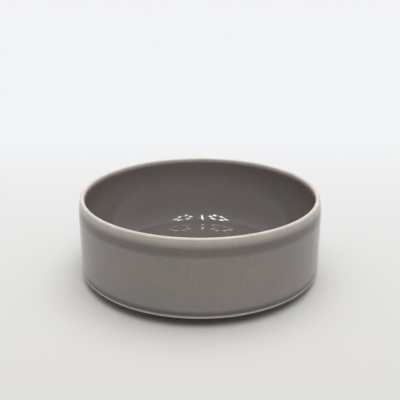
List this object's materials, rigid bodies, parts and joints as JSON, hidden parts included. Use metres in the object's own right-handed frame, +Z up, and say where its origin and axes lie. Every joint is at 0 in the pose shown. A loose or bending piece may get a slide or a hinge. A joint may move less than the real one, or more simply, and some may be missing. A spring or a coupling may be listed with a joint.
{
  "type": "bowl",
  "caption": "Low straight-sided stoneware bowl with a soft flat lip, a crisp heel and a turned foot ring, glazed warm grey all over except the ring it stands on.",
  "frame": {"origin": "centre of the foot ring's standing plane, on the bowl's axis", "axes": "+Z up along the bowl's axis of revolution; X and Y are any two directions across it"},
  "size_m": [0.122, 0.122, 0.0428],
  "materials": {
    "fired_clay": "bare fired stoneware, sponged, matt",
    "grey_glaze": "glossy warm grey glaze that breaks paler over edges",
    "foot_glaze": "glossy warm grey glaze"
  },
  "bodies": {
    "root": {"clay_body": "fired_clay", "glaze_coat": "grey_glaze", "foot_well_glaze": "foot_glaze"}
  },
  "joints": []
}
